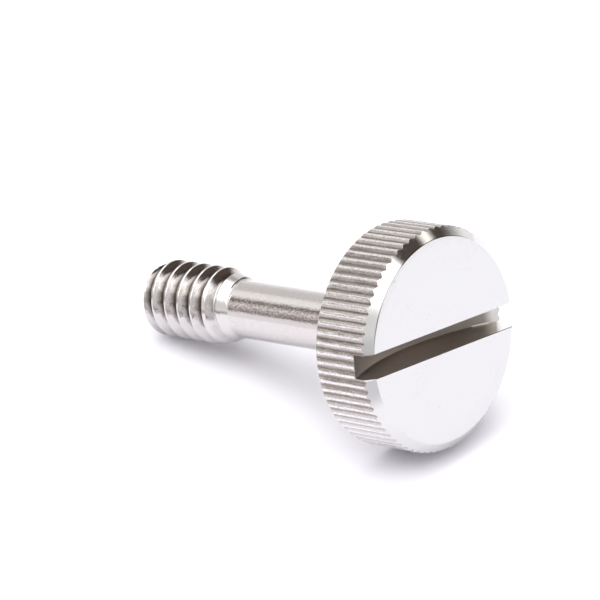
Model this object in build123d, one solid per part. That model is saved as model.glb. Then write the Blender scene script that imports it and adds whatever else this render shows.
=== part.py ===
from build123d import *
from math import atan2, cos, degrees, radians, sin, tan
import os

os.makedirs("parts", exist_ok=True)

# Head
head_diameter = 7.9375
head_height = 2.44
face_chamfer_radial = 0.35
face_chamfer_axial = 0.3
underside_chamfer = 0.08
tooth_count = 72
tooth_depth = 0.065
tooth_land = 0.058
tooth_root_land = 0.042

# Screwdriver slot, cut by a round slitting saw
slot_width = 0.84
slot_depth = 1.64
saw_radius = 9.25
saw_offset = 0.21
slot_angle = 172.2

# Reduced shank and the cone that joins it to the thread
shank_diameter = 2.09
shank_length = 6.93
cone_length = 1.0
head_fillet = 0.1

# Thread: 4-40, right hand
thread_diameter = 2.82
thread_root_diameter = 2.11
thread_pitch = 0.635
thread_length = 3.25
thread_crest_width = thread_pitch / 8
tip_chamfer = 0.35
first_crest = 0.976

head_radius = head_diameter / 2
shank_radius = shank_diameter / 2
thread_radius = thread_diameter / 2
root_radius = thread_root_diameter / 2

# Stations along the axis, from the tip at zero to the face of the head
cone_start = thread_length
shank_start = cone_start + cone_length
underside = shank_start + shank_length
face = underside + head_height

# Turned blank of the threaded end, the cone and the shank, drawn as radius against length
stem_points = [
    (0, 0),
    (thread_radius - tip_chamfer, 0),
    (thread_radius, tip_chamfer),
    (thread_radius, cone_start),
    (shank_radius, shank_start),
    (shank_radius, underside + 0.5),
    (0, underside + 0.5),
]
stem_section = Plane.XZ * make_face(Polyline(*stem_points, close=True))
stem = revolve(stem_section, Axis.Z)

# Helical groove: a V with a narrow flat root, swept well past the tip and out through the cone
groove_overshoot = 0.04
half_root = (thread_pitch - thread_crest_width) / 2 - (thread_radius - root_radius) * tan(radians(30))
half_mouth = (thread_pitch - thread_crest_width) / 2 + groove_overshoot * tan(radians(30))
groove_start = first_crest - 2.5 * thread_pitch
groove_height = shank_start + 0.5 * thread_pitch - groove_start
groove_path = Helix(pitch=thread_pitch, height=groove_height, radius=root_radius, center=(0, 0, groove_start))
groove_points = [
    (root_radius, groove_start - half_root),
    (thread_radius + groove_overshoot, groove_start - half_mouth),
    (thread_radius + groove_overshoot, groove_start + half_mouth),
    (root_radius, groove_start + half_root),
]
groove_section = Plane.XZ * make_face(Polyline(*groove_points, close=True))
groove = sweep(groove_section, path=groove_path, is_frenet=True)
seam_turn = 10
stem = Rot(0, 0, -90 - seam_turn) * (stem - Rot(0, 0, seam_turn) * groove)
print("stem", stem.volume)

# Head: straight knurl as one toothed section, then turned chamfers on both edges
pitch_angle = 360 / tooth_count
land_half = degrees(tooth_land / 2 / head_radius)
root_half = degrees(tooth_root_land / 2 / (head_radius - tooth_depth))
outline = []
for tooth in range(tooth_count):
    middle = tooth * pitch_angle + pitch_angle / 2
    gap = (tooth + 1) * pitch_angle
    for angle, radius in (
        (middle - land_half, head_radius),
        (middle + land_half, head_radius),
        (gap - root_half, head_radius - tooth_depth),
        (gap + root_half, head_radius - tooth_depth),
    ):
        outline.append((radius * cos(radians(angle)), radius * sin(radians(angle))))
toothed = extrude(Pos(0, 0, underside) * make_face(Polyline(*outline, close=True)), head_height)
turned_points = [
    (0, underside),
    (head_radius - underside_chamfer, underside),
    (head_radius + 0.02, underside + underside_chamfer + 0.02),
    (head_radius + 0.02, face - face_chamfer_axial * (1 + 0.02 / face_chamfer_radial)),
    (head_radius - face_chamfer_radial, face),
    (0, face),
]
turned = revolve(Plane.XZ * make_face(Polyline(*turned_points, close=True)), Axis.Z)
head = toothed & turned

screw = stem + head

# Small fillet under the head
corner = screw.edges().filter_by(GeomType.CIRCLE)
corner = corner.filter_by(lambda e: abs(e.radius - shank_radius) < 0.001 and abs(e.center().Z - underside) < 0.001)
screw = fillet(corner, head_fillet)

# Slot across the face, with the round floor the saw leaves
saw_centre = face - slot_depth + saw_radius
saw = Cylinder(saw_radius, slot_width, rotation=(90, 0, 0))
saw = Rot(0, 0, slot_angle) * Pos(-saw_offset, 0, saw_centre) * saw
screw = screw - saw

# Lay the screw down on two teeth at the rim of its head and on the first turn of its thread,
# where the tip chamfer meets the crest
rim_radius = head_radius * cos(radians(pitch_angle / 2 - land_half))
rim_station = underside + underside_chamfer
tilt = atan2(rim_radius - thread_radius, rim_station - tip_chamfer)
lift = rim_radius * cos(tilt) - rim_station * sin(tilt)
screw = Rot(0, -degrees(tilt), 0) * Rot(0, 90, 0) * Rot(0, 0, 90) * screw
middle_x = screw.bounding_box().center().X
screw = Pos(-middle_x, 0, lift) * screw

export_step(screw, "parts/captive_screw.step")
print("tilt", degrees(tilt), "lift", lift, "middle", middle_x)
print(screw.bounding_box(), screw.volume, screw.is_valid, len(screw.solids()))
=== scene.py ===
import math

import bmesh
import bpy
import numpy as np
from mathutils import Matrix, Vector


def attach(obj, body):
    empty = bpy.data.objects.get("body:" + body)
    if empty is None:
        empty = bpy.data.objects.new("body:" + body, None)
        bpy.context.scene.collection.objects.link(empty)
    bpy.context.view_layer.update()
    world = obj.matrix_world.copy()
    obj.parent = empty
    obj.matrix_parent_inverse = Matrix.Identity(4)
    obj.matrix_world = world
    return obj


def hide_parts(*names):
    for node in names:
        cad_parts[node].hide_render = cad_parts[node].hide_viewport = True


mm = 0.001
frontAngle = -math.pi / 2  # the angle round the screw where every ring starts

# camera at the photograph's angle, places in mm and turns in degrees
cameraView = {
    "place": (81.2172, -93.0808, 73.3031),
    "turn": (60.5898, 0.1687, 41.1072),
    "lens": 240.0,
    "sensor": 36.0,
    "nearest": 1.0,
}


def addCamera():
    data = bpy.data.cameras.new("camera")
    data.lens = cameraView["lens"]
    data.sensor_width = cameraView["sensor"]
    data.clip_start = cameraView["nearest"] * mm
    camera = bpy.data.objects.new("camera", data)
    camera.location = Vector(cameraView["place"]) * mm
    camera.rotation_euler = [math.radians(turn) for turn in cameraView["turn"]]
    bpy.context.scene.collection.objects.link(camera)
    bpy.context.scene.camera = camera


addCamera()
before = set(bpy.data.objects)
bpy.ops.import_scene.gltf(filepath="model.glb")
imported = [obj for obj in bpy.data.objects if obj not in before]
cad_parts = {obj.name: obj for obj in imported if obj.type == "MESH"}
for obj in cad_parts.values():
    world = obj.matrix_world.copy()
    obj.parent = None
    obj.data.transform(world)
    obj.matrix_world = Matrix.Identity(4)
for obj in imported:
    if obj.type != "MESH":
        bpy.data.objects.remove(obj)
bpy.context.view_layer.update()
print("camera and frame ready")


# The screw is drawn in mm along its own axis, z from the threaded tip to the slotted face.
# Its mesh is laid on its side once it is dressed.
class Shell:
    # points and faces gathered before they become a mesh
    def __init__(self):
        self.points = []
        self.faces = []

    def ring(self, radius, z, angle):
        first = len(self.points)
        radius = np.broadcast_to(radius, angle.shape)
        z = np.broadcast_to(z, angle.shape)
        self.points += list(zip(radius * np.cos(angle), radius * np.sin(angle), z))
        return list(range(first, first + len(angle)))

    def band(self, low, high):
        n = len(low)
        for i in range(n):
            j = (i + 1) % n
            self.faces.append((low[i], low[j], high[j], high[i]))


def meshFrom(name, points, faces):
    mesh = bpy.data.meshes.new(name)
    mesh.from_pydata([(x * mm, y * mm, z * mm) for x, y, z in points], [], faces)
    mesh.update()
    thing = bpy.data.objects.new(name, mesh)
    bpy.context.scene.collection.objects.link(thing)
    return thing


threadSizes = {
    "radius": 1.41,
    "rootRadius": 1.055,
    "pitch": 0.635,
    "flankAngle": 30.0,
    "tipChamfer": 0.35,
    "firstCrest": 0.976,
    "end": 3.25,
    "columns": 216,
    # rows of the grid, in turns from the crest's edge, on the flank and from the root's edge
    "crestRows": (-0.018, 0.012),
    "flankInset": 0.05,
    "flankRows": 6,
    "rootRows": (-0.015, 0.015),
}
threadSizes["crestWidth"] = threadSizes["pitch"] / 8


def formRadius(turns):
    t = threadSizes
    away = np.abs((turns + 0.5) % 1 - 0.5) * t["pitch"]
    drop = (away - t["crestWidth"] / 2) / math.tan(math.radians(t["flankAngle"]))
    return np.clip(t["radius"] - drop, t["rootRadius"], t["radius"])


def stemRadius(turns, z):
    coneShare = (shankSizes["start"] - z) / (shankSizes["start"] - threadSizes["end"])
    cone = shankSizes["radius"] + coneShare * (threadSizes["radius"] - shankSizes["radius"])
    tip = threadSizes["radius"] - threadSizes["tipChamfer"] + z
    return np.minimum(np.minimum(formRadius(turns), cone), tip)


def threadMarks():
    t = threadSizes
    edge = t["crestWidth"] / 2 / t["pitch"]
    root = edge + (t["radius"] - t["rootRadius"]) * math.tan(math.radians(t["flankAngle"])) / t["pitch"]
    flank = np.linspace(edge + t["flankInset"], root - t["flankInset"], t["flankRows"])
    side = np.concatenate([edge + np.array(t["crestRows"]), flank, root + np.array(t["rootRows"])])
    return np.concatenate([[0], side, [0.5], 1 - side[::-1]])


def addThread(shell):
    # rows of the grid follow the helix, so the crest edges stay crisp
    t = threadSizes
    columns = t["columns"]
    marks = threadMarks()
    perTurn = len(marks)
    # whole turns past the tip and the cone, which the clip below brings back to the ends
    low = math.floor(-t["firstCrest"] / t["pitch"]) - 1
    high = math.ceil((shankSizes["start"] - t["firstCrest"]) / t["pitch"]) + 2
    rows = np.concatenate([marks + turn for turn in range(low, high)])
    grid = []
    for c in range(columns):
        angle = frontAngle + 2 * math.pi * c / columns
        z = t["firstCrest"] + (rows + c / columns) * t["pitch"]
        z = np.clip(z, 0, shankSizes["start"])
        turns = (z - t["firstCrest"]) / t["pitch"] - c / columns
        radius = stemRadius(turns, z)
        first = len(shell.points)
        shell.points += list(zip(radius * math.cos(angle), radius * math.sin(angle), z))
        grid.append(range(first, first + len(rows)))
    for c in range(columns):
        here = grid[c]
        after = grid[(c + 1) % columns]
        step = perTurn if c == columns - 1 else 0  # the last column meets the first one turn up
        for row in range(len(rows) - 1 - step):
            shell.faces.append((here[row], after[row + step], after[row + step + 1], here[row + 1]))
    tipRing = [column[0] for column in grid]
    topRing = [column[-1] for column in grid]
    return tipRing, topRing


shankSizes = {
    "radius": 1.045,
    "start": 4.25,
    "fillet": 0.1,
    "rings": 12,
    "filletRings": 9,
}


def addShank(shell, start):
    s = shankSizes
    angle = frontAngle + 2 * math.pi * np.arange(threadSizes["columns"]) / threadSizes["columns"]
    under = headSizes["underside"]
    rings = [start]
    for z in np.linspace(s["start"], under - s["fillet"], s["rings"])[1:]:
        rings.append(shell.ring(s["radius"], z, angle))
    for turn in np.linspace(0, math.pi / 2, s["filletRings"])[1:]:
        radius = s["radius"] + s["fillet"] * (1 - math.cos(turn))
        rings.append(shell.ring(radius, under - s["fillet"] * (1 - math.sin(turn)), angle))
    for low, high in zip(rings, rings[1:]):
        shell.band(low, high)
    return rings[-1]


headSizes = {
    "radius": 3.96875,
    "underside": 11.18,
    "face": 13.62,
    "chamferRadial": 0.35,
    "chamferAxial": 0.3,
    "undersideChamfer": 0.08,
    "teeth": 72,
    "toothDepth": 0.065,
    "toothLand": 0.058,
    "rootLand": 0.042,
    "soften": 0.01,  # how far the corners are eased
    "rootMarks": (-0.09, 0.11),  # degrees from the root's edge
    "crestMarks": (-0.1, 0.1),  # degrees from the crest's edge
    "undersideInset": 0.25,
    "rimRings": 9,
    "chamferRings": (0.3, 0.65),
    "faceRings": (3.3, 2.5, 1.7, 0.9),
}


def crestHalfAngle():
    return math.degrees(headSizes["toothLand"] / 2 / headSizes["radius"])


def toothAngles():
    h = headSizes
    pitch = 360 / h["teeth"]
    crest = crestHalfAngle()
    root = math.degrees(h["rootLand"] / 2 / (h["radius"] - h["toothDepth"]))
    shoulder = pitch / 2 - crest
    rise = [0, *(root + mark for mark in h["rootMarks"]), (root + shoulder) / 2]
    rise += [shoulder + mark for mark in h["crestMarks"]]
    offsets = np.array(rise + [pitch / 2] + [pitch - a for a in rise[:0:-1]])
    away = np.abs(offsets - pitch / 2)
    slope = np.clip((away - crest) / (shoulder - root), 0, 1)
    angle = frontAngle + np.radians((np.arange(h["teeth"])[:, None] * pitch + offsets).ravel())
    return angle, np.tile(h["radius"] - h["toothDepth"] * slope, h["teeth"])


def addHead(shell, neck):
    h = headSizes
    angle, rim = toothAngles()
    soft = h["soften"]
    faceEdge = h["radius"] - h["chamferRadial"]
    underEdge = h["radius"] - h["undersideChamfer"]
    lowCut = h["underside"] + np.maximum(rim - underEdge, 0)
    topCut = h["face"] - h["chamferAxial"] * (rim - faceEdge) / h["chamferRadial"]
    inner = np.minimum(underEdge, rim)
    # every corner has two or three rings, a share of the softening apart
    rings = [
        shell.ring(inner - h["undersideInset"], h["underside"], angle),
        shell.ring(inner - soft, h["underside"], angle),
        shell.ring(inner, h["underside"] + soft * 0.4, angle),
        shell.ring(rim - soft * 0.3, lowCut + soft * 0.5, angle),
        shell.ring(rim, lowCut + soft * 1.6, angle),
    ]
    for share in np.linspace(0, 1, h["rimRings"])[1:-1]:
        rings.append(shell.ring(rim, lowCut + (topCut - lowCut) * share, angle))
    rings.append(shell.ring(rim, topCut - soft, angle))
    rings.append(shell.ring(rim - soft * 0.3, topCut + soft * 0.3, angle))
    for share in h["chamferRings"]:
        radius = rim + (faceEdge - rim) * share
        rings.append(shell.ring(radius, topCut + (h["face"] - topCut) * share, angle))
    rings.append(shell.ring(faceEdge + soft * 0.6, h["face"] - soft * 0.75, angle))
    rings.append(shell.ring(faceEdge, h["face"] - soft * 0.2, angle))
    rings.append(shell.ring(faceEdge - soft, h["face"], angle))
    for radius in h["faceRings"]:
        rings.append(shell.ring(radius, h["face"], angle))
    for low, high in zip(rings, rings[1:]):
        shell.band(low, high)
    shell.faces.append(tuple(rings[-1]))
    # the flat underside runs from the neck's ring out to the finer ring of the teeth
    share = len(angle) // len(neck)
    for i in range(len(neck)):
        j = (i + 1) % len(neck)
        outer = [rings[0][(i * share + k) % len(angle)] for k in range(share, -1, -1)]
        shell.faces.append((neck[i], neck[j], *outer))


weldDistance = 1e-8  # metres
shortestEdge = 2e-7


def buildBlank():
    shell = Shell()
    tipRing, topRing = addThread(shell)
    shell.faces.append(tuple(reversed(tipRing)))
    neck = addShank(shell, topRing)
    addHead(shell, neck)
    blank = meshFrom("captiveScrew", shell.points, shell.faces)
    work = bmesh.new()
    work.from_mesh(blank.data)
    bmesh.ops.remove_doubles(work, verts=work.verts, dist=weldDistance)
    bmesh.ops.dissolve_degenerate(work, edges=work.edges, dist=shortestEdge)
    print("open edges", sum(1 for edge in work.edges if not edge.is_manifold))
    work.to_mesh(blank.data)
    work.free()
    return blank


slotSizes = {
    "width": 0.84,
    "depth": 1.64,
    "sawRadius": 9.25,
    "sawOffset": 0.21,
    "angle": 172.2,
    "cornerRadius": 0.04,
    "cornerSteps": 5,
    "sawBand": 3.75,  # only the rim of the saw is drawn
    "sawArc": (-150, -30),  # degrees
    "sawSteps": 161,
    "lip": 0.02,
    "lipReach": 5,
}


def sawCutter():
    s = slotSizes
    half = s["width"] / 2
    corner = s["cornerRadius"]
    section = [(-half, s["sawRadius"] - s["sawBand"]), (-half, s["sawRadius"] - corner)]
    for turn in np.linspace(0, math.pi / 2, s["cornerSteps"])[1:]:
        out = s["sawRadius"] - corner * (1 - math.sin(turn))
        section.append((-half + corner * (1 - math.cos(turn)), out))
    section += [(-x, r) for x, r in section[::-1]]
    shell = Shell()
    rows = []
    for turn in np.radians(np.linspace(*s["sawArc"], s["sawSteps"])):
        first = len(shell.points)
        shell.points += [(r * math.cos(turn), x, r * math.sin(turn)) for x, r in section]
        rows.append(list(range(first, first + len(section))))
    for low, high in zip(rows, rows[1:]):
        shell.band(low, high)
    shell.faces += [tuple(reversed(rows[0])), tuple(rows[-1])]
    cutter = meshFrom("saw", shell.points, shell.faces)
    centre = headSizes["face"] - s["depth"] + s["sawRadius"]
    cutter.matrix_world = (Matrix.Rotation(math.radians(s["angle"]), 4, "Z")
                           @ Matrix.Translation((-s["sawOffset"] * mm, 0, centre * mm)))
    return cutter


def lipCutter():
    # a trough with 45 degree sides, which breaks the slot's edges on the face
    s = slotSizes
    half = s["width"] / 2
    low = headSizes["face"] - s["lip"]
    high = headSizes["face"] + s["lip"] * 2
    wide = half + s["lip"] * 3
    section = [(-half, low), (half, low), (wide, high), (-wide, high)]
    points = [(x, y, z) for x in (-s["lipReach"], s["lipReach"]) for y, z in section]
    faces = [(3, 2, 1, 0), (4, 5, 6, 7), (0, 1, 5, 4), (1, 2, 6, 5), (2, 3, 7, 6), (3, 0, 4, 7)]
    cutter = meshFrom("lip", points, faces)
    cutter.matrix_world = Matrix.Rotation(math.radians(s["angle"]), 4, "Z")
    return cutter


def outwardFaces(thing):
    work = bmesh.new()
    work.from_mesh(thing.data)
    bmesh.ops.recalc_face_normals(work, faces=work.faces)
    work.to_mesh(thing.data)
    work.free()


def cut(thing, cutter):
    outwardFaces(cutter)
    bpy.context.view_layer.update()
    modifier = thing.modifiers.new("cut", "BOOLEAN")
    modifier.operation = "DIFFERENCE"
    modifier.solver = "EXACT"
    modifier.object = cutter
    bpy.context.view_layer.objects.active = thing
    bpy.ops.object.modifier_apply(modifier=modifier.name)
    bpy.data.objects.remove(cutter)


screw = buildBlank()
outwardFaces(screw)
cut(screw, sawCutter())
cut(screw, lipCutter())
print("screw mesh", len(screw.data.polygons), "faces")


def layMatrix():
    # the screw rests on two teeth at the rim of its head and on the first turn of its thread
    t, h = threadSizes, headSizes
    rim = h["radius"] * math.cos(math.radians(180 / h["teeth"] - crestHalfAngle()))
    rimStation = h["underside"] + h["undersideChamfer"]
    tilt = math.atan2(rim - t["radius"], rimStation - t["tipChamfer"])
    c, s = math.cos(tilt), math.sin(tilt)
    lift = rim * c - rimStation * s
    farthest = h["face"] * c + (h["radius"] - h["chamferRadial"]) * s
    nearest = -(t["radius"] - t["tipChamfer"]) * s
    turn = Matrix(((0, -s, c), (1, 0, 0), (0, c, s))).to_4x4()
    return Matrix.Translation((-(farthest + nearest) / 2 * mm, 0, lift * mm)) @ turn


finishes = ["face", "chamfer", "knurl", "slot", "underside", "shank", "thread"]

# how far past each edge a finish still counts, in mm
zoneReach = {
    "plane": 0.001,  # the flat tip and the underside
    "cone": 0.03,
    "slotSide": 0.03,
    "slotFloor": 0.01,
    "rim": 0.02,
    "slotTop": 0.005,
    "lip": 0.004,
    "face": 0.03,
}

# the share of a face's normal along the axis, or away from it, that each finish asks for
zoneTurn = {
    "underside": -0.5,
    "rim": 0.5,
    "slotTop": 0.99,
    "lip": 0.3,
    "face": 0.9,
    "chamfer": 0.35,
}


def zoneOf(centre, normal):
    h, reach, share = headSizes, zoneReach, zoneTurn
    x, y, z = centre / mm
    radius = math.hypot(x, y)
    if z < reach["plane"]:
        return "underside"  # the flat tip has the same finish
    if z < shankSizes["start"] + reach["cone"]:
        return "thread"
    if z < h["underside"] - reach["plane"]:
        return "shank"
    if normal.z < share["underside"]:
        return "underside"
    turn = math.radians(slotSizes["angle"])
    across = -x * math.sin(turn) + y * math.cos(turn)
    bottom = h["face"] - slotSizes["depth"] - reach["slotFloor"]
    if abs(across) < slotSizes["width"] / 2 + reach["slotSide"] and z > bottom:
        outward = (normal.x * x + normal.y * y) / max(radius, reach["plane"])
        onRim = radius > h["radius"] - h["toothDepth"] - reach["rim"] and outward > share["rim"]
        onFace = normal.z > share["slotTop"] and z > h["face"] - reach["slotTop"]
        onLip = normal.z > share["lip"] and z > h["face"] - slotSizes["lip"] - reach["lip"]
        if onLip and not onFace:
            return "chamfer"
        if not onFace and not onRim:
            return "slot"
    if normal.z > share["face"] and z > h["face"] - reach["face"]:
        return "face"
    if normal.z > share["chamfer"]:
        return "chamfer"
    return "knurl"


class Graph:
    # a short way to add and wire nodes in one tree
    def __init__(self, tree):
        self.nodes = tree.nodes
        self.links = tree.links

    def feed(self, socket, value):
        if hasattr(value, "is_output"):
            self.links.new(value, socket)
        else:
            socket.default_value = value

    def calc(self, kind, a, b=0.0, c=0.0):
        node = self.nodes.new("ShaderNodeMath")
        node.operation = kind
        for socket, value in zip(node.inputs, (a, b, c)):
            self.feed(socket, value)
        return node.outputs[0]

    def plus(self, a, b):
        return self.calc("ADD", a, b)

    def minus(self, a, b):
        return self.calc("SUBTRACT", a, b)

    def times(self, a, b):
        return self.calc("MULTIPLY", a, b)

    def hypot(self, a, b):
        return self.calc("SQRT", self.plus(self.times(a, a), self.times(b, b)))

    def span(self, value, fromMin, fromMax, toMin=0.0, toMax=1.0):
        node = self.nodes.new("ShaderNodeMapRange")
        node.interpolation_type = "SMOOTHSTEP"
        self.feed(node.inputs["Value"], value)
        self.feed(node.inputs["From Min"], fromMin)
        self.feed(node.inputs["From Max"], fromMax)
        self.feed(node.inputs["To Min"], toMin)
        self.feed(node.inputs["To Max"], toMax)
        return node.outputs["Result"]

    def spread(self, noise, low=0.0, high=1.0):
        # most of a noise lies between 0.3 and 0.7
        return self.span(noise, 0.3, 0.7, low, high)

    def step(self, value, edge, fade):
        return self.span(value, edge - fade, edge + fade)

    def blend(self, share, a, b):
        node = self.nodes.new("ShaderNodeMix")
        node.data_type = "RGBA"
        self.feed(node.inputs[0], share)
        for socket, colour in ((node.inputs[6], a), (node.inputs[7], b)):
            self.feed(socket, (*colour, 1) if isinstance(colour, tuple) else colour)
        return node.outputs[2]

    def noise(self, vector, scale, detail=3.0, rough=0.6):
        node = self.nodes.new("ShaderNodeTexNoise")
        self.feed(node.inputs["Vector"], vector)
        self.feed(node.inputs["Scale"], scale)
        self.feed(node.inputs["Detail"], detail)
        self.feed(node.inputs["Roughness"], rough)
        return node.outputs["Fac"]

    def stretch(self, vector, sizes):
        node = self.nodes.new("ShaderNodeVectorMath")
        node.operation = "MULTIPLY"
        self.feed(node.inputs[0], vector)
        self.feed(node.inputs[1], sizes)
        return node.outputs[0]

    def split(self, vector):
        node = self.nodes.new("ShaderNodeSeparateXYZ")
        self.feed(node.inputs[0], vector)
        return node.outputs

    def screwPlace(self):
        # mm along and across the screw's own axis
        coord = self.nodes.new("ShaderNodeTexCoord")
        back = layMatrix().inverted()
        node = self.nodes.new("ShaderNodeMapping")
        self.feed(node.inputs["Vector"], coord.outputs["Object"])
        node.inputs["Location"].default_value = back.translation / mm
        node.inputs["Rotation"].default_value = back.to_euler()
        node.inputs["Scale"].default_value = (1 / mm, 1 / mm, 1 / mm)
        return node.outputs[0]

    def slotPlace(self, place):
        # x along the slot and y across it
        node = self.nodes.new("ShaderNodeMapping")
        self.feed(node.inputs["Vector"], place)
        node.inputs["Rotation"].default_value = (0, 0, -math.radians(slotSizes["angle"]))
        return node.outputs[0]

    def radius(self, place):
        parts = self.split(place)
        return self.hypot(parts[0], parts[1])

    def onSide(self, place, side):
        # 1 on the side of the screw at this angle, fading to 0 between the two cosines
        angle, low, high = side
        parts = self.split(place)
        turn = math.radians(angle)
        toward = self.plus(self.times(parts[0], math.cos(turn)), self.times(parts[1], math.sin(turn)))
        return self.span(self.calc("DIVIDE", toward, self.radius(place)), low, high)

    def relief(self, height, depth):
        # depth in mm
        node = self.nodes.new("ShaderNodeBump")
        node.inputs["Strength"].default_value = 1
        node.inputs["Distance"].default_value = depth * mm
        self.feed(node.inputs["Height"], height)
        return node.outputs[0]


def metal(name):
    material = bpy.data.materials.new(name)
    material.use_nodes = True
    graph = Graph(material.node_tree)
    shader = material.node_tree.nodes["Principled BSDF"]
    shader.inputs["Metallic"].default_value = 1
    return material, graph, shader.inputs


# fine turned face, pale and satin
faceLook = {
    "pale": (0.68, 0.682, 0.68),
    "grey": (0.674, 0.676, 0.674),
    "cloudSize": 0.6,
    "speck": (0.5, 0.47, 0.45),
    "speckSize": 2.6,
    "speckFrom": (0.79, 0.84),
    "rough": (0.25, 0.28),
    "ringPitch": 0.3,
    "ringDepth": 0.00005,
    "swellSize": 0.5,
    "swell": 3.0,
}


def faceMetal():
    look = faceLook
    material, graph, sockets = metal("turnedFace")
    place = graph.screwPlace()
    cloud = graph.noise(place, look["cloudSize"], detail=1.0)
    speck = graph.span(graph.noise(place, look["speckSize"], detail=1.0), *look["speckFrom"])
    tone = graph.blend(cloud, look["pale"], look["grey"])
    graph.feed(sockets["Base Color"], graph.blend(speck, tone, look["speck"]))
    graph.feed(sockets["Roughness"], graph.spread(cloud, *look["rough"]))
    wave = graph.calc("SINE", graph.times(graph.radius(place), 2 * math.pi / look["ringPitch"]))
    swell = graph.times(graph.noise(place, look["swellSize"], detail=1.0), look["swell"])
    graph.feed(sockets["Normal"], graph.relief(graph.plus(wave, swell), look["ringDepth"]))
    return material


# bright cut chamfer, with a dark burr along part of its inner edge and a duller stretch
# beside one end of the slot
chamferLook = {
    "bright": (0.7, 0.7, 0.7),
    "dull": (0.64, 0.635, 0.63),
    "toneSize": 2.0,
    "rough": (0.05, 0.12),
    "roughSize": 5.0,
    "waveSize": 3.0,
    "waveDepth": 0.0009,
    "burr": (0.24, 0.23, 0.22),
    "burrWidth": (0.021, 0.035),
    "burrSide": (108, 0.55, 0.75),
    "worn": (0.44, 0.43, 0.43),
    "wornSide": (180, 0.955, 0.998),
    "brightLip": 0.055,
    "lipFade": 0.01,
}


def chamferMetal():
    look = chamferLook
    material, graph, sockets = metal("brightChamfer")
    place = graph.screwPlace()
    tone = graph.blend(graph.noise(place, look["toneSize"]), look["bright"], look["dull"])
    across = graph.calc("ABSOLUTE", graph.split(graph.slotPlace(place))[1])
    pastLip = graph.step(across, slotSizes["width"] / 2 + look["brightLip"], look["lipFade"])
    worn = graph.times(pastLip, graph.onSide(place, look["wornSide"]))
    tone = graph.blend(worn, tone, look["worn"])
    faceEdge = headSizes["radius"] - headSizes["chamferRadial"]
    burrStart, burrEnd = look["burrWidth"]
    burr = graph.span(graph.radius(place), faceEdge + burrStart, faceEdge + burrEnd, 1, 0)
    burr = graph.times(burr, graph.onSide(place, look["burrSide"]))
    graph.feed(sockets["Base Color"], graph.blend(burr, tone, look["burr"]))
    graph.feed(sockets["Roughness"], graph.spread(graph.noise(place, look["roughSize"]), *look["rough"]))
    graph.feed(sockets["Normal"], graph.relief(graph.noise(place, look["waveSize"]), look["waveDepth"]))
    return material


# pressed knurl, grainy along the teeth, with painted shade in dull brown in the grooves, darker flanks and
# blotches of painted shade on one side, and a painted highlight on the crests
knurlLook = {
    "unshaded": (0.62, 0.605, 0.61),
    # painted highlight on the tops of the teeth
    "crest": (0.82, 0.805, 0.795),
    # painted shade: the flanks on one side take this darker colour
    "flank": (0.48, 0.45, 0.435),
    # painted shade: the colour of the shade in the grooves and of the blotches on one side
    "groove": (0.24, 0.205, 0.18),
    "flankShadeSide": (120, -0.1, 0.4),
    "grooveSide": (120, 0.0, 0.4),
    "grooveLeast": 0.3,  # share of the painted groove shade that goes all the way round
    "grooveHeight": 0.02,
    "crestHeight": (0.022, 0.006),  # mm below the tooth's top
    "uneven": 0.05,
    # painted shade in blotches from the grain, on one side
    "paintedShade": 0.38,
    "paintedShadeFrom": (0.35, 0.65),
    "paintedShadeSide": (120, -0.2, 0.3),
    "rough": (0.16, 0.36),
    "streakSize": 9.0,
    "streakLength": 0.22,
    "grainSize": 14.4,
    "grainDepth": 0.006,
}


def knurlMetal():
    look = knurlLook
    material, graph, sockets = metal("knurl")
    place = graph.screwPlace()
    top = headSizes["radius"]
    bottom = top - headSizes["toothDepth"]
    drawnOut = graph.stretch(place, (1, 1, look["streakLength"]))
    streak = graph.noise(drawnOut, look["streakSize"], detail=4.0, rough=0.7)
    grain = graph.noise(place, look["grainSize"], detail=2.0)
    level = graph.plus(graph.radius(place), graph.times(graph.minus(streak, 0.5), look["uneven"]))
    # painted shade in the grooves, strongest on the side at 120 degrees
    grooveShadeShare = graph.calc("MULTIPLY_ADD", graph.onSide(place, look["grooveSide"]),
                      1 - look["grooveLeast"], look["grooveLeast"])
    deep = graph.times(graph.span(level, bottom, bottom + look["grooveHeight"], 1, 0), grooveShadeShare)
    # painted shade: the flanks on the side at 120 degrees are darker
    tone = graph.blend(graph.onSide(place, look["flankShadeSide"]), look["unshaded"], look["flank"])
    tone = graph.blend(deep, tone, look["groove"])
    # painted highlight along the crests
    crest = graph.span(level, top - look["crestHeight"][0], top - look["crestHeight"][1])
    tone = graph.blend(crest, tone, look["crest"])
    # painted shade in blotches from the grain on the side at 120 degrees
    paintedShade = graph.times(graph.span(grain, *look["paintedShadeFrom"], 0, look["paintedShade"]),
                        graph.onSide(place, look["paintedShadeSide"]))
    graph.feed(sockets["Base Color"], graph.blend(paintedShade, tone, look["groove"]))
    graph.feed(sockets["Roughness"], graph.spread(streak, *look["rough"]))
    graph.feed(sockets["Normal"], graph.relief(graph.plus(streak, grain), look["grainDepth"]))
    return material


# sawn slot, dark and faintly streaked, with painted shade further in and painted light where it opens on
# the right
slotLook = {
    "dark": (0.412, 0.368, 0.332),
    "light": (0.425, 0.383, 0.348),
    "streakStretch": (0.35, 4.0, 2.2),
    "streakSize": 2.4,
    "streakDepth": 0.0002,
    "rough": (0.28, 0.36),
    # painted shade on the floor further in
    "deepFloor": (0.25, 0.225, 0.205),
    "deepFrom": (0.4, 2.8),  # mm from the screw's axis
    # painted light on the floor where the slot opens
    "openFloor": (0.62, 0.61, 0.6),
    "openFrom": (3.3, 3.75),
    # the wall that faces up is painted lighter, and almost white as a painted reflection past a leaning
    # line
    "wall": (0.56, 0.505, 0.455),
    "wallSkin": (0.02, 0.01),
    "openWall": (0.98, 0.97, 0.96),
    "wallStart": 2.77,
    "wallLean": 1.2,
    "wallFade": 0.05,
    "glint": (0.8, 0.78, 0.74),
    "glintWidth": 0.05,
    "glintFade": 0.01,
    "glintFrom": (2.83, 2.93),
    "glintTo": (3.5, 3.6),
}


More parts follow.
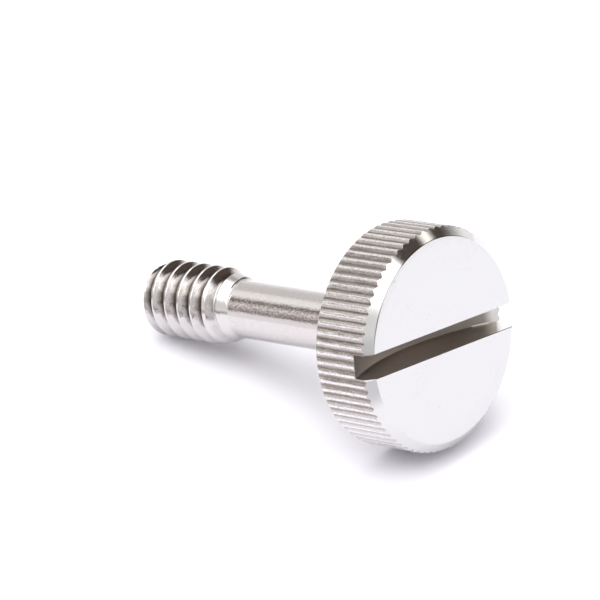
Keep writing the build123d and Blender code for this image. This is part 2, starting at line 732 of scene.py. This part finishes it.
def slotMetal():
    look = slotLook
    material, graph, sockets = metal("sawnSlot")
    place = graph.slotPlace(graph.screwPlace())
    parts = graph.split(place)
    toEnd = graph.times(parts[0], -1)
    across = parts[1]
    half = slotSizes["width"] / 2
    drawnOut = graph.stretch(place, look["streakStretch"])
    streak = graph.noise(drawnOut, look["streakSize"], detail=2.0, rough=0.5)
    tone = graph.blend(graph.spread(streak), look["dark"], look["light"])
    # painted shade on the floor further in, then painted light where the slot opens
    tone = graph.blend(graph.span(toEnd, *look["deepFrom"]), tone, look["deepFloor"])
    tone = graph.blend(graph.span(toEnd, *look["openFrom"]), tone, look["openFloor"])
    # the wall that faces up is painted lighter, and past a line that leans with the depth it carries a
    # painted reflection, almost white
    depth = graph.minus(headSizes["face"], parts[2])
    line = graph.calc("MULTIPLY_ADD", depth, look["wallLean"], look["wallStart"])
    pastLine = graph.step(graph.minus(toEnd, line), 0, look["wallFade"])
    onWall = graph.span(across, half - look["wallSkin"][0], half - look["wallSkin"][1])
    tone = graph.blend(onWall, tone, graph.blend(pastLine, look["wall"], look["openWall"]))
    # a glint in the corner where that wall meets the round floor
    centre = headSizes["face"] - slotSizes["depth"] + slotSizes["sawRadius"]
    fromSaw = graph.hypot(graph.minus(centre, parts[2]), graph.minus(toEnd, slotSizes["sawOffset"]))
    onFloor = graph.step(fromSaw, slotSizes["sawRadius"] - look["glintWidth"], look["glintFade"])
    glint = graph.times(onFloor, graph.step(across, half - look["glintWidth"], look["glintFade"]))
    glint = graph.times(glint, graph.span(toEnd, *look["glintFrom"]))
    glint = graph.times(glint, graph.span(toEnd, *look["glintTo"], 1, 0))
    graph.feed(sockets["Base Color"], graph.blend(glint, tone, look["glint"]))
    graph.feed(sockets["Roughness"], graph.spread(streak, *look["rough"]))
    graph.feed(sockets["Normal"], graph.relief(streak, look["streakDepth"]))
    return material


# turned shank, with rings round the axis, a fine grain, one stripe of painted reflection along it, mottled
# lighter and darker, and painted shade on two sides
shankLook = {
    "light": (0.645, 0.62, 0.614),
    "dull": (0.59, 0.562, 0.55),
    "toneFrom": (0.35, 0.7),
    # painted reflection: a mottled stripe along one side
    "sheenDark": (0.5, 0.465, 0.45),
    "sheenLight": (0.8, 0.77, 0.76),
    "sheenSide": (147, 0.945, 0.985),
    "sheenShare": 0.85,
    "sheenSize": 16.0,
    "sheenLength": 0.5,
    "sheenFrom": (0.42, 0.6),
    "shade": (0.42, 0.39, 0.375),
    "shadeSides": [((163, 0.985, 0.997), 0.5), ((80, 0.6, 0.8), 0.35)],  # side and share
    "rough": (0.07, 0.15),
    "cloudSize": 1.1,
    "grainSize": 13.0,
    "grainLength": 0.6,
    "grainDepth": 0.0042,
    "ringPitch": 0.14,
    "ringShare": 0.04,
}

# the underside and the flat tip have no stripe and are less polished
undersideLook = dict(
    shankLook,
    rough=(0.2, 0.32),
    sheenDark=shankLook["dull"],
    sheenLight=shankLook["light"],
    shadeSides=[],
)


def turnedMetal(name, look):
    material, graph, sockets = metal(name)
    place = graph.screwPlace()
    drawnOut = graph.stretch(place, (1, 1, look["grainLength"]))
    grain = graph.noise(drawnOut, look["grainSize"], detail=3.0, rough=0.7)
    tone = graph.blend(graph.span(grain, *look["toneFrom"]), look["light"], look["dull"])
    # painted reflection in a stripe along one side, mottled lighter and darker
    drawnOut = graph.stretch(place, (1, 1, look["sheenLength"]))
    sheenMottle = graph.noise(drawnOut, look["sheenSize"], detail=2.0, rough=0.8)
    sheen = graph.blend(graph.span(sheenMottle, *look["sheenFrom"]), look["sheenDark"], look["sheenLight"])
    stripe = graph.times(graph.onSide(place, look["sheenSide"]), look["sheenShare"])
    tone = graph.blend(stripe, tone, sheen)
    for side, share in look["shadeSides"]:
        tone = graph.blend(graph.times(graph.onSide(place, side), share), tone, look["shade"])
    graph.feed(sockets["Base Color"], tone)
    graph.feed(sockets["Roughness"], graph.spread(graph.noise(place, look["cloudSize"]), *look["rough"]))
    along = graph.plus(graph.split(place)[2], graph.radius(place))  # so the rings run on over the underside
    wave = graph.calc("SINE", graph.times(along, 2 * math.pi / look["ringPitch"]))
    height = graph.plus(grain, graph.times(wave, look["ringShare"]))
    graph.feed(sockets["Normal"], graph.relief(height, look["grainDepth"]))
    return material


# thread, bright on the crests, with painted shade in the root on one side
threadLook = {
    "bright": (0.64, 0.62, 0.612),
    # painted shade in the root
    "paintedShade": (0.12, 0.095, 0.08),
    "paintedShadeTop": 0.22,
    "paintedShadeEnd": 0.4,  # mm past the last full turn
    "paintedShadeSide": (120, 0.0, 0.5),
    "uneven": 0.12,
    "rough": (0.07, 0.17),
    "grainSize": 11.0,
    "grainDepth": 0.004,
}


def threadMetal():
    look = threadLook
    material, graph, sockets = metal("thread")
    place = graph.screwPlace()
    root = threadSizes["rootRadius"]
    end = threadSizes["end"]
    grain = graph.noise(place, look["grainSize"], detail=3.0, rough=0.7)
    level = graph.plus(graph.radius(place), graph.times(graph.minus(grain, 0.5), look["uneven"]))
    # painted shade in the root, on the side at 120 degrees and ending past the last full turn
    deep = graph.span(level, root, root + look["paintedShadeTop"], 1, 0)
    deep = graph.times(deep, graph.span(graph.split(place)[2], end, end + look["paintedShadeEnd"], 1, 0))
    deep = graph.times(deep, graph.onSide(place, look["paintedShadeSide"]))
    graph.feed(sockets["Base Color"], graph.blend(deep, look["bright"], look["paintedShade"]))
    graph.feed(sockets["Roughness"], graph.spread(grain, *look["rough"]))
    graph.feed(sockets["Normal"], graph.relief(grain, look["grainDepth"]))
    return material


def dressScrew():
    looks = {
        "face": faceMetal(),
        "chamfer": chamferMetal(),
        "knurl": knurlMetal(),
        "slot": slotMetal(),
        "underside": turnedMetal("underside", undersideLook),
        "shank": turnedMetal("shank", shankLook),
        "thread": threadMetal(),
    }
    for name in finishes:
        screw.data.materials.append(looks[name])
    for polygon in screw.data.polygons:
        polygon.material_index = finishes.index(zoneOf(polygon.center, polygon.normal))


shading = {
    "sharpAngle": 17.5,  # degrees
    "footReach": 0.0005,  # mm, how near a point is to the foot of the cone
}


def laySmooth():
    # the edge at the foot of the cone is softer than the sharp angle, so it is found by its place
    mesh = screw.data
    foot = {v.index for v in mesh.vertices if abs(v.co.z / mm - shankSizes["start"]) < shading["footReach"]}
    mesh.transform(layMatrix())
    mesh.shade_smooth()
    mesh.set_sharp_from_angle(angle=math.radians(shading["sharpAngle"]))
    for edge in mesh.edges:
        if edge.vertices[0] in foot and edge.vertices[1] in foot:
            edge.use_edge_sharp = True


dressScrew()
laySmooth()
print("materials on")

floorLook = {"half": 1.0, "colour": (0.85, 0.845, 0.9, 1), "rough": 0.8, "specular": 0.1}  # half in metres


def addFloor():
    half = floorLook["half"]
    mesh = bpy.data.meshes.new("floor")
    corners = [(-half, -half, 0), (half, -half, 0), (half, half, 0), (-half, half, 0)]
    mesh.from_pydata(corners, [], [(0, 1, 2, 3)])
    floor = bpy.data.objects.new("floor", mesh)
    bpy.context.scene.collection.objects.link(floor)
    material = bpy.data.materials.new("floor")
    material.use_nodes = True
    sockets = material.node_tree.nodes["Principled BSDF"].inputs
    sockets["Base Color"].default_value = floorLook["colour"]
    sockets["Roughness"].default_value = floorLook["rough"]
    sockets["Specular IOR Level"].default_value = floorLook["specular"]
    mesh.materials.append(material)
    return floor


floor = addFloor()

# the studio round the screw, in three soft layers by elevation in degrees
studioBase = {
    "low": (1.15, 1.13, 1.12),
    "middle": (0.97, 0.96, 0.95),
    "high": (2.7, 2.67, 2.64),
    "lowToMiddle": (5, 20),
    "middleToHigh": (50, 66),
    "backdrop": (1.0, 1.0, 1.0),  # what the camera sees past the floor
}

# soft-edged cards, each one over those listed before it; az, el and sizes in degrees
studioCards = [
    # dim card high at the back
    {"az": 128, "el": 43, "wide": 40, "tall": 16, "edge": 7, "light": (0.55, 0.52, 0.5)},
    # dark card at the back on the right, with a small lamp in front of it
    {"az": 56, "el": 36, "wide": 59, "tall": 52, "edge": 6, "light": (0.1, 0.078, 0.065)},
    {"az": 69, "el": 41, "wide": 10, "tall": 9, "edge": 4, "light": (1.75, 1.68, 1.55)},
    # bright card on the left
    {"az": 182, "el": 34, "wide": 24, "tall": 12, "edge": 4, "light": (1.4, 1.38, 1.37)},
    # grey cards low on the left
    {"az": -145, "el": 20, "wide": 24, "tall": 20, "edge": 4, "light": (0.88, 0.84, 0.83)},
    {"az": -154, "el": 28, "wide": 11, "tall": 16, "edge": 2, "light": (0.3, 0.26, 0.24)},
    {"az": -136, "el": 8, "wide": 12, "tall": 14, "edge": 3, "light": (0.5, 0.45, 0.43)},
    # grey card low at the front, on the right
    {"az": -30, "el": 12, "wide": 56, "tall": 14, "edge": 5, "light": (0.75, 0.75, 0.76)},
    # dark strip low along the front
    {"az": -70, "el": 2, "wide": 134, "tall": 9, "edge": 3, "light": (0.32, 0.29, 0.275)},
    # big softbox above the camera
    {"az": -60, "el": 61, "wide": 160, "tall": 38, "edge": 9, "light": (3.1, 3.07, 3.04)},
]


def buildStudio():
    world = bpy.data.worlds.new("studio")
    bpy.context.scene.world = world
    world.use_nodes = True
    graph = Graph(world.node_tree)
    coord = graph.nodes.new("ShaderNodeTexCoord")
    x, y, z = graph.split(coord.outputs["Generated"])
    elevation = graph.times(graph.calc("ARCSINE", z), 180 / math.pi)
    azimuth = graph.times(graph.calc("ARCTAN2", y, x), 180 / math.pi)
    base = studioBase
    light = graph.blend(graph.span(elevation, *base["lowToMiddle"]), base["low"], base["middle"])
    light = graph.blend(graph.span(elevation, *base["middleToHigh"]), light, base["high"])
    for card in studioCards:
        turn = graph.calc("WRAP", graph.minus(azimuth, card["az"]), 180, -180)
        sideways = graph.calc("ABSOLUTE", turn)
        upways = graph.calc("ABSOLUTE", graph.minus(elevation, card["el"]))
        halfWide, halfTall, edge = card["wide"] / 2, card["tall"] / 2, card["edge"]
        mask = graph.times(graph.span(sideways, halfWide - edge, halfWide + edge, 1, 0),
                           graph.span(upways, halfTall - edge, halfTall + edge, 1, 0))
        light = graph.blend(mask, light, card["light"])
    path = graph.nodes.new("ShaderNodeLightPath")
    light = graph.blend(path.outputs["Is Camera Ray"], light, base["backdrop"])
    graph.feed(world.node_tree.nodes["Background"].inputs["Color"], light)


buildStudio()
bpy.context.scene.view_settings.view_transform = "Standard"
print("studio ready")

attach(screw, "root")
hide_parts("captive_screw")
